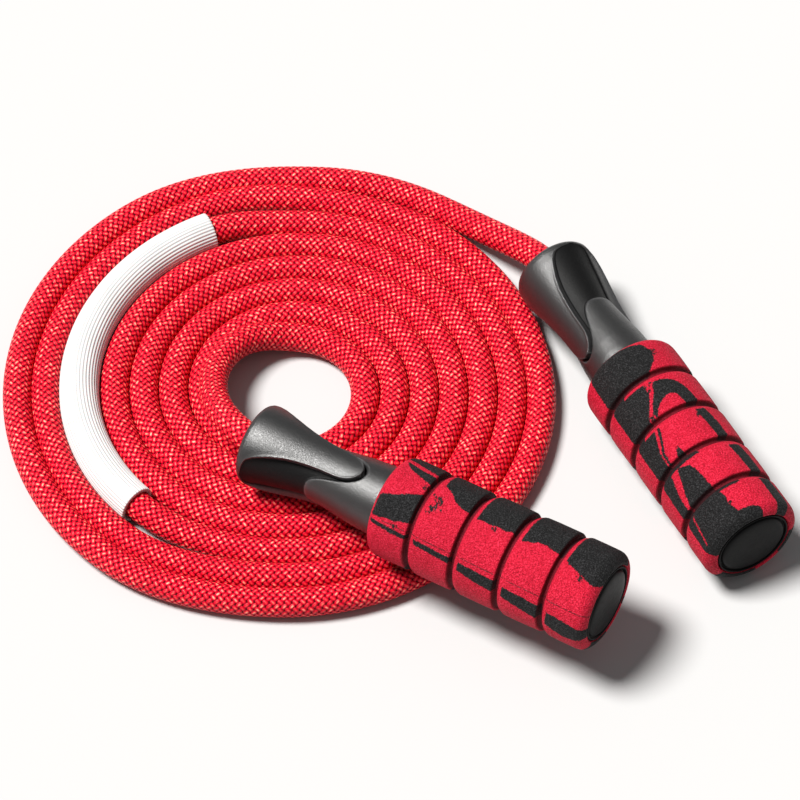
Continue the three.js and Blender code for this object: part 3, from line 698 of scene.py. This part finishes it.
# ---------------------------------------------------------------------------
# Foam grips. The dark print is drawn as outlines in (place along one segment
# from 0 to 1, angle in degrees round the handle).
# ---------------------------------------------------------------------------
PRINT = {
    "a": {
        0: [[(-.4, 20), (1.2, 20), (1.2, 61), (.9, 59), (.5, 56.5), (.1, 52), (-.4, 47)],
            [(.08, 60), (.5, 64), (1.2, 67), (1.2, 80), (.73, 76), (.53, 73), (.27, 69.5), (.08, 62)],
            [(-.1, 113), (.3, 108), (.6, 102), (1.2, 92), (1.2, 128), (.8, 131), (.5, 134), (-.1, 137.5)],
            [(-.1, 142.5), (1.2, 145.3), (1.2, 149.4), (.5, 148), (-.1, 145)],
            [(-.4, 203), (.2, 199), (.5, 207), (.9, 202), (1.2, 206), (1.2, 246), (.7, 243), (.45, 252), (.1, 244), (-.4, 247)],
            [(.2, 283), (.7, 276), (1.2, 281), (1.2, 301), (.8, 296), (.4, 304)]],
        1: [[(.05, 20), (1.2, 20), (1.2, 92.5), (.76, 90.5), (.55, 86.5), (.4, 79), (.2, 73.5), (.07, 70)],
            [(-.02, 144.5), (1.2, 147.2), (1.2, 153.6), (.5, 151.2), (-.02, 149)],
            [(0, 206), (.3, 213), (.6, 209), (1.2, 214), (1.2, 235), (.8, 231), (.5, 240), (.25, 233), (0, 236)],
            [(0, 268), (.35, 262), (.6, 275), (.9, 266), (1.2, 270), (1.2, 322), (.7, 318), (.4, 328), (0, 317)]],
        2: [[(0, 20), (1.2, 20), (1.2, 92), (.9, 91), (.8, 93.6), (.6, 92.3), (.35, 94), (.15, 92.7), (0, 94.5)],
            [(0, 147.5), (.5, 149), (1.2, 150.3), (1.2, 163.6), (.7, 162), (.35, 159), (0, 156.5)],
            [(0, 222), (.4, 227), (.7, 219), (1.2, 224), (1.2, 262), (.9, 257), (.55, 268), (.3, 259), (0, 264)],
            [(.1, 296), (1.2, 302), (1.2, 311), (.1, 303)]],
        3: [[(0, 20), (1.2, 20), (1.2, 92), (.85, 91), (.6, 88.5), (.4, 89), (.25, 92.5), (0, 95)],
            [(0, 152.2), (.5, 153.5), (1.2, 155.9), (1.2, 174), (.7, 170), (.35, 167), (0, 164)],
            [(0, 230), (.5, 224), (1.2, 229), (1.2, 239), (.5, 236), (0, 241)],
            [(0, 271), (.4, 279), (.75, 270), (1.2, 275), (1.2, 330), (.6, 334), (.3, 326), (0, 332)]],
        4: [[(0, 20), (1.5, 20), (1.5, 84), (1.1, 97), (.98, 106), (.88, 108.8), (.6, 105), (.3, 100), (.12, 98), (0, 95)],
            [(0, 158.2), (.5, 160.5), (1.0, 164.5), (1.5, 160), (1.5, 178), (.85, 181.5), (.5, 183.2), (.2, 179), (0, 175.2)],
            [(0, 214), (.5, 221), (1.0, 213), (1.5, 219), (1.5, 258), (1.0, 262), (.6, 254), (.3, 266), (0, 259)],
            [(0, 300), (.6, 306), (1.5, 309), (1.5, 318), (.6, 316), (0, 309)]],
    },
    "b": {
        0: [[(-.05, 30), (.08, 17), (.2, 14.2), (.45, 12.3), (.7, 16), (.88, 24), (1.2, 36), (1.2, 94.4), (-.4, 91)],
            [(-.4, 148), (.3, 155), (.7, 147), (1.2, 153), (1.2, 190), (.8, 198), (.4, 188), (-.4, 194)],
            [(0, 232), (.6, 226), (1.2, 233), (1.2, 244), (.4, 240), (0, 246)],
            [(.1, 282), (.6, 290), (1.2, 284), (1.2, 318), (.7, 326), (.3, 316)]],
        1: [[(-.3, 71), (0, 71), (0, 45), (.3, 43.7), (.55, 50), (.86, 59.5), (1.2, 65), (1.2, 93.7), (-.3, 93.7)],
            [(1.2, -3), (.62, 1.2), (.38, 5), (.24, 10), (.14, 16.2), (.09, 24), (.08, 33), (.31, 37.5), (.55, 44.5), (.83, 52.5),
             (1.0, 51), (.74, 43), (.61, 32), (.56, 24), (.64, 17), (1.2, 12)],
            [(0, 140), (.4, 132), (.7, 142), (1.2, 136), (1.2, 166), (.6, 160), (.3, 170), (0, 163)],
            [(0, 205), (.5, 213), (1.2, 208), (1.2, 262), (.8, 270), (.35, 259), (0, 266)]],
        2: [[(-.3, 80), (0, 80), (0, 63.7), (.24, 67.5), (.59, 73.5), (1.2, 75.4), (1.2, 96.4), (-.3, 94)],
            [(0, 57.3), (.03, 57), (.38, 62.6), (.66, 68.8), (1.0, 70.4), (1.0, 72), (.64, 70.8), (.35, 64.3), (0, 59.4)],
            [(.03, -2.5), (.3, -5.5), (.6, -7.7), (1.2, -7.7), (1.2, 4.6), (.75, 6), (.45, 7), (.03, 9.3)],
            [(.76, 52), (.95, 51.2), (1.2, 49), (1.2, 61.5), (.85, 55.5)],
            [(0, 148), (.4, 156), (.8, 146), (1.2, 150), (1.2, 196), (.7, 204), (.4, 193), (0, 199)],
            [(.1, 248), (.6, 242), (1.2, 249), (1.2, 259), (.1, 256)],
            [(0, 288), (.5, 296), (1.2, 290), (1.2, 316), (.4, 311), (0, 318)]],
        3: [[(0, 66.5), (.15, 54), (.35, 51), (.6, 50), (1.2, 47.5), (1.2, 84.5), (.7, 77.5), (.3, 71.2), (0, 67.3)],
            [(-.3, 37.5), (-.03, 37.5), (-.03, 86), (-.3, 86)],
            [(-.3, 85), (.06, 79), (.2, 81.5), (.6, 86), (1.2, 88.3), (1.2, 100.6), (-.3, 97.5)],
            [(.08, -14.5), (.45, -19), (1.2, -21.3), (1.2, -4.6), (.5, -1.5), (.08, 1.3)],
            [(0, 134), (.5, 141), (1.2, 137), (1.2, 147), (.5, 151), (0, 145)],
            [(0, 184), (.3, 192), (.7, 183), (1.2, 188), (1.2, 240), (.6, 247), (.2, 237), (0, 242)],
            [(.1, 276), (.7, 284), (1.2, 279), (1.2, 300), (.5, 306)]],
        4: [[(-.3, 18.7), (-.03, 18.7), (-.03, 45.7), (.18, 42.5), (.36, 45), (.73, 40.7), (.79, 26), (.88, 17.5), (1.0, 15),
             (1.5, 15), (1.5, 104), (1.0, 103), (-.3, 100.5)],
            [(0, -24), (.8, -27), (1.5, -25), (1.5, -8), (.75, -7.5), (0, -7.5)],
            [(0, 150), (.5, 158), (1.0, 149), (1.5, 155), (1.5, 206), (1.0, 212), (.5, 203), (0, 210)],
            [(0, 254), (.6, 247), (1.5, 255), (1.5, 287), (.9, 293), (.4, 284), (0, 291)]],
    },
}
CUT = {"a": {}, "b": {4: [[(-.05, 86), (.3, 88), (.84, 93), (.84, 95.6), (.3, 91.6), (-.05, 89)]]}}
SPECKS = {   # (segment, place, angle, reach mm): where the print has broken into shards
    "a": [(0, .55, 132, 2.6), (0, .9, 84, 1.4), (1, .10, 90, 2.2), (1, .22, 100, 2.0), (1, .08, 108, 1.6), (2, .5, 97, 1.0), (4, .5, 108, 1.2)],
    "b": [(0, .4, 10, 1.4), (1, .15, 38, 1.8), (1, .92, 55, 1.0), (2, .2, 11, 1.4), (0, .95, 30, 1.0), (4, .4, 43, 0.8)],
}
DEG_MM = GRIP_R * math.pi / 180
GROOVES = [GROOVE_FIRST + GROOVE_PITCH * i for i in range(4)]
FACE = [(55.2, GROOVES[0] - 1.05)] + [(GROOVES[i] + 2.55, (GROOVES[i + 1] if i < 3 else 135.6) - (1.05 if i < 3 else 0)) for i in range(4)]


def poly_distance(px, py, poly):
    """Signed distance in mm, negative inside."""
    poly = np.array(poly, float)
    best = np.full(px.shape, 1e9)
    inside = np.zeros(px.shape, bool)
    for (x0, y0), (x1, y1) in zip(poly, np.roll(poly, -1, axis=0)):
        dx, dy = x1 - x0, y1 - y0
        t = np.clip(((px - x0) * dx + (py - y0) * dy) / max(dx * dx + dy * dy, 1e-9), 0, 1)
        best = np.minimum(best, np.hypot(px - x0 - t * dx, py - y0 - t * dy))
        if y0 != y1:
            crosses = ((y0 > py) != (y1 > py)) & (px < (x1 - x0) * (py - y0) / (y1 - y0) + x0)
            inside ^= crosses
    return np.where(inside, -best, best)


def print_mask(tag, s, deg):
    sdf = np.full(s.shape, 9.0)
    speck = np.zeros(s.shape)
    for seg in range(5):
        f0, f1 = FACE[seg]
        lo = f0 - 2.0 if seg == 0 else GROOVES[seg - 1] - 0.1
        hi = 140.0 if seg == 4 else GROOVES[seg] - 0.1
        here = (s >= lo - 0.6) & (s <= hi + 0.6)
        span = f1 - f0
        seg_d = np.full(s.shape, 9.0)
        for turn in (-360, 0, 360):
            for poly in PRINT[tag].get(seg, []):
                mm = [(f0 + t * span, (a + turn) * DEG_MM) for t, a in poly]
                seg_d = np.minimum(seg_d, poly_distance(s, deg * DEG_MM, mm))
            for poly in CUT[tag].get(seg, []):
                mm = [(f0 + t * span, (a + turn) * DEG_MM) for t, a in poly]
                seg_d = np.maximum(seg_d, -poly_distance(s, deg * DEG_MM, mm))
        sdf = np.where((s >= lo) & (s < hi), np.minimum(sdf, seg_d), sdf)
    rng = np.random.default_rng(11 if tag == "a" else 23)
    for seg, t, a, reach in SPECKS[tag]:      # shards of a print that has broken up
        f0, f1 = FACE[seg]
        for _ in range(int(5 * reach)):
            rad_, th_ = reach * math.sqrt(rng.random()), rng.random() * 6.283
            cx, cy = f0 + t * (f1 - f0) + rad_ * math.cos(th_), a * DEG_MM + rad_ * math.sin(th_)
            size, lean = 0.25 + 0.45 * rng.random(), 0.6 + 0.5 * rng.random()
            k3 = [(cx + size * 1.5 * math.cos(lean), cy + size * 1.5 * math.sin(lean)), (cx + size * 0.5 * math.cos(lean + 2), cy + size * 0.5 * math.sin(lean + 2)),
                  (cx + size * 0.6 * math.cos(lean + 4), cy + size * 0.6 * math.sin(lean + 4))]
            sdf = np.minimum(sdf, poly_distance(s, deg * DEG_MM, k3) + 0.02)
    speck = np.full(s.shape, 2.0)
    if tag == "a":
        ln = 139.5 + (s - 60) * 0.068
        speck = np.where(s > 58, np.clip((deg - ln) * DEG_MM, -2, 2), 2.0)
    return np.clip(sdf, -3, 3), speck


def grip_profile(s):
    """Outer radius of the foam along the handle."""
    r = np.full(s.shape, GRIP_R)
    r = np.minimum(r, np.interp(s, [52.6, 53.0, 53.6, 54.4, 55.2, 56.2], [14.6, 15.5, 16.4, 17.1, 17.5, GRIP_R]))
    for c in GROOVES:
        r = np.minimum(r, np.interp(s, [c - 1.45, c - 1.2, c - 1.02, c - 0.8, c - 0.5, c + 0.35, c + 0.62, c + 0.85, c + 1.15, c + 1.7, c + 2.55, c + 3.1],
                                    [GRIP_R, 17.55, 17.2, 16.1, 15.6, 15.6, 15.95, 16.45, 16.75, 17.1, 17.53, GRIP_R]))
    r = np.minimum(r, np.interp(s, [132.6, 133.6, 134.5, 135.2, 135.8, 136.2], [GRIP_R, 17.5, 17.1, 16.5, 15.7, 14.9]))
    for f0, f1 in FACE:       # each segment is a touch fuller in its middle
        mid = np.clip((s - f0) / (f1 - f0), 0, 1)
        r = r + 0.10 * np.sin(math.pi * mid) * ((s > f0) & (s < f1))
    return r


def build_grip(tag):
    nth = 250
    th = np.arange(nth) * 2 * math.pi / nth
    s_rows = [52.6, 52.8, 53.0, 53.3, 53.6, 54.0, 54.4, 54.8, 55.2]
    s_rows += list(np.arange(55.7, GROOVES[0] - 1.5, 0.5))
    for i, c in enumerate(GROOVES):
        s_rows += [c - 1.45, c - 1.2, c - 1.02, c - 0.9, c - 0.8, c - 0.5, c - 0.1, c + 0.35, c + 0.62, c + 0.85, c + 1.15, c + 1.7, c + 2.1, c + 2.55, c + 2.8, c + 3.1]
        nxt = GROOVES[i + 1] - 1.5 if i < 3 else 132.5
        s_rows += list(np.arange(c + 3.6, nxt, 0.5))
    s_rows += [132.6, 133.1, 133.6, 134.05, 134.5, 134.85, 135.2, 135.5, 135.8, 136.0, 136.2]
    s_rows = np.array(sorted(set(np.round(s_rows, 3))))
    SS, AA = np.meshgrid(s_rows, th, indexing="ij")
    rr = grip_profile(SS)
    rr = rr + 0.05 * np.sin(3 * AA + SS * 0.11) + 0.04 * np.sin(5 * AA - SS * 0.23 + 1)
    rr = np.minimum(rr, GRIP_R + 0.12)
    # mask of the groove floors, which the foam material darkens as painted shade
    painted_groove_shade = np.zeros(SS.shape)
    for c in GROOVES:
        painted_groove_shade = np.maximum(painted_groove_shade, np.interp(SS, [c - 1.15, c - 0.95, c + 0.4, c + 0.8], [0, 1, 1, 0]))
    rows = [np.stack([rr[i] * np.cos(th), rr[i] * np.sin(th), np.full(nth, s_rows[i])], -1) for i in range(len(s_rows))]
    S_all = [np.full(nth, s) for s in s_rows]
    groove = [painted_groove_shade[i] for i in range(len(s_rows))]
    for s0, r0 in [(136.2, 14.3), (136.1, 13.95), (135.9, 13.75), (133, 13.75), (129.8, 13.75), (129.8, 12.6), (110, 12.6), (90, 12.6), (70, 12.6),
                   (52.9, 12.6), (52.65, 13.2), (52.6, 14.0)]:
        rows.append(np.stack([r0 * np.cos(th), r0 * np.sin(th), np.full(nth, s0)], -1))
        S_all.append(np.full(nth, s0)); groove.append(np.zeros(nth))
    v = np.vstack(rows)
    s_at = np.concatenate(S_all)
    deg = np.tile(np.degrees(th), len(rows))
    # measured round from -48 for one full turn, so that no outline is cut at the seam
    deg = np.where(deg > 311, deg - 360, deg)
    camo, speck = print_mask(tag, s_at, deg)
    inner = np.hypot(v[:, 0], v[:, 1]) < 13.9
    camo = np.where(inner, 3.0, camo)
    ob = new_mesh(f"grip_{tag}", to_row(tag, v), grid_faces(len(rows), nth, wrap_rows=True),
                  attrs={"camo": camo, "score": np.where(inner, 2.0, speck), "groove": np.concatenate(groove)})
    ob.data.materials.append(MAT["foam"])
    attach(ob, f"handle_{tag}")
    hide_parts(f"foam_grip_{tag}")
    return ob


def build_cap(tag):
    prof = [(136.86, 0.4), (136.84, 3), (136.78, 6), (136.66, 8.6), (136.5, 10.2), (136.25, 11.3), (135.95, 11.75), (135.5, 11.98), (135.2, 12.12), (135.12, 12.35),
            (135.2, 12.55), (135.6, 12.66), (136.0, 12.78), (136.15, 12.98), (136.05, 13.22), (135.75, 13.38), (135.3, 13.45), (131, 13.45), (129.9, 13.42), (129.8, 13.3),
            (129.8, 10.6), (129.7, 10.5), (118, 10.5), (117.4, 10.35), (117.2, 10.1), (117.2, 8.8), (117.4, 8.6), (131.7, 8.6), (132.0, 8.2), (132, 0.4)]
    nth = 120
    th = np.arange(nth) * 2 * math.pi / nth
    v = np.vstack([np.stack([r * np.cos(th), r * np.sin(th), np.full(nth, s)], -1) for s, r in prof])
    # the middle is closed by a point on each side
    f = grid_faces(len(prof), nth)
    c0, c1 = len(v), len(v) + 1
    v = np.vstack([v, [[0, 0, 136.87]], [[0, 0, 132.0]]])
    me = bpy.data.meshes.new(f"cap_{tag}")
    last = (len(prof) - 1) * nth
    tris = [(c0, (q + 1) % nth, q) for q in range(nth)] + [(c1, last + q, last + (q + 1) % nth) for q in range(nth)]
    fl = [tuple(int(i) for i in q)[::-1] for q in f] + [t[::-1] for t in tris]
    if volume(v, fl) < 0:
        fl = [q[::-1] for q in fl]
    me.from_pydata([tuple(p) for p in to_row(tag, v)], [], fl)
    me.update()
    for p in me.polygons:
        p.use_smooth = True
    ob = bpy.data.objects.new(f"cap_{tag}_domed", me)
    scene.collection.objects.link(ob)
    ob.data.materials.append(MAT["cap"])
    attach(ob, f"cap_{tag}")
    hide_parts(f"end_cap_{tag}")
    return ob


for tag in "ab":
    build_head(tag)
    build_grip(tag)
    build_cap(tag)

# ---------------------------------------------------------------------------
# CAD nodes that stay, each with its finish
# ---------------------------------------------------------------------------
KEPT = {"bearing_outer_ring": "steel", "bearing_inner_ring": "steel", "ball_cage": "cage", "bearing_retainer": "cap",
        "swivel_bush": "bush", "thrust_washer": "steel", "rope_clamp": "bush", "rope_end": "yarn"}
for name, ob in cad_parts.items():
    for start, key in list(KEPT.items()) + [("bearing_ball", "steel")]:
        if name.startswith(start):
            ob.data.materials.clear()
            ob.data.materials.append(MAT[key])

# ---------------------------------------------------------------------------
# Floor, light
# ---------------------------------------------------------------------------
bpy.ops.mesh.primitive_plane_add(size=14, location=(0, 0, -0.0002))
floor = bpy.context.object
floor.name = "floor"
fg = Graph("floor_paper")
fg.set(Roughness=0.9, Specular_IOR_Level=0.1)
fg.bsdf.inputs["Base Color"].default_value = (0.51, 0.51, 0.512, 1)
floor.data.materials.append(fg.mat)

world = bpy.data.worlds.new("world")
scene.world = world
world.use_nodes = True
bg = world.node_tree.nodes["Background"]
bg.inputs[0].default_value = (1, 1, 1, 1)
bg.inputs[1].default_value = 0.20


def area(name, loc, target, size, energy, color=(1, 1, 1)):
    ld = bpy.data.lights.new(name, "AREA")
    ld.shape = "DISK"
    ld.size = size
    ld.energy = energy
    ld.color = color
    ob = bpy.data.objects.new(name, ld)
    scene.collection.objects.link(ob)
    ob.location = loc
    d = np.array(target, float) - np.array(loc, float)
    d /= np.linalg.norm(d)
    ob.rotation_euler = (math.acos(-d[2]), 0, math.atan2(d[0], -d[1]) + 0.0)
    from mathutils import Vector
    ob.rotation_euler = Vector(d).to_track_quat("-Z", "Y").to_euler()
    return ob


def sun(name, towards, strength, angle, color=(1, 1, 1)):
    from mathutils import Vector
    ld = bpy.data.lights.new(name, "SUN")
    ld.energy = strength
    ld.angle = math.radians(angle)
    ld.color = color
    ob = bpy.data.objects.new(name, ld)
    scene.collection.objects.link(ob)
    ob.rotation_euler = (-Vector(towards)).to_track_quat("-Z", "Y").to_euler()
    ob.location = (0, 0, 1)
    return ob


sun("key", (-0.50, 0.02, 1.0), 6.2, 19, (1.0, 0.985, 0.96))

scene.view_settings.view_transform = "Standard"
scene.view_settings.look = "None"
scene.view_settings.exposure = 0
scene.view_settings.gamma = 1
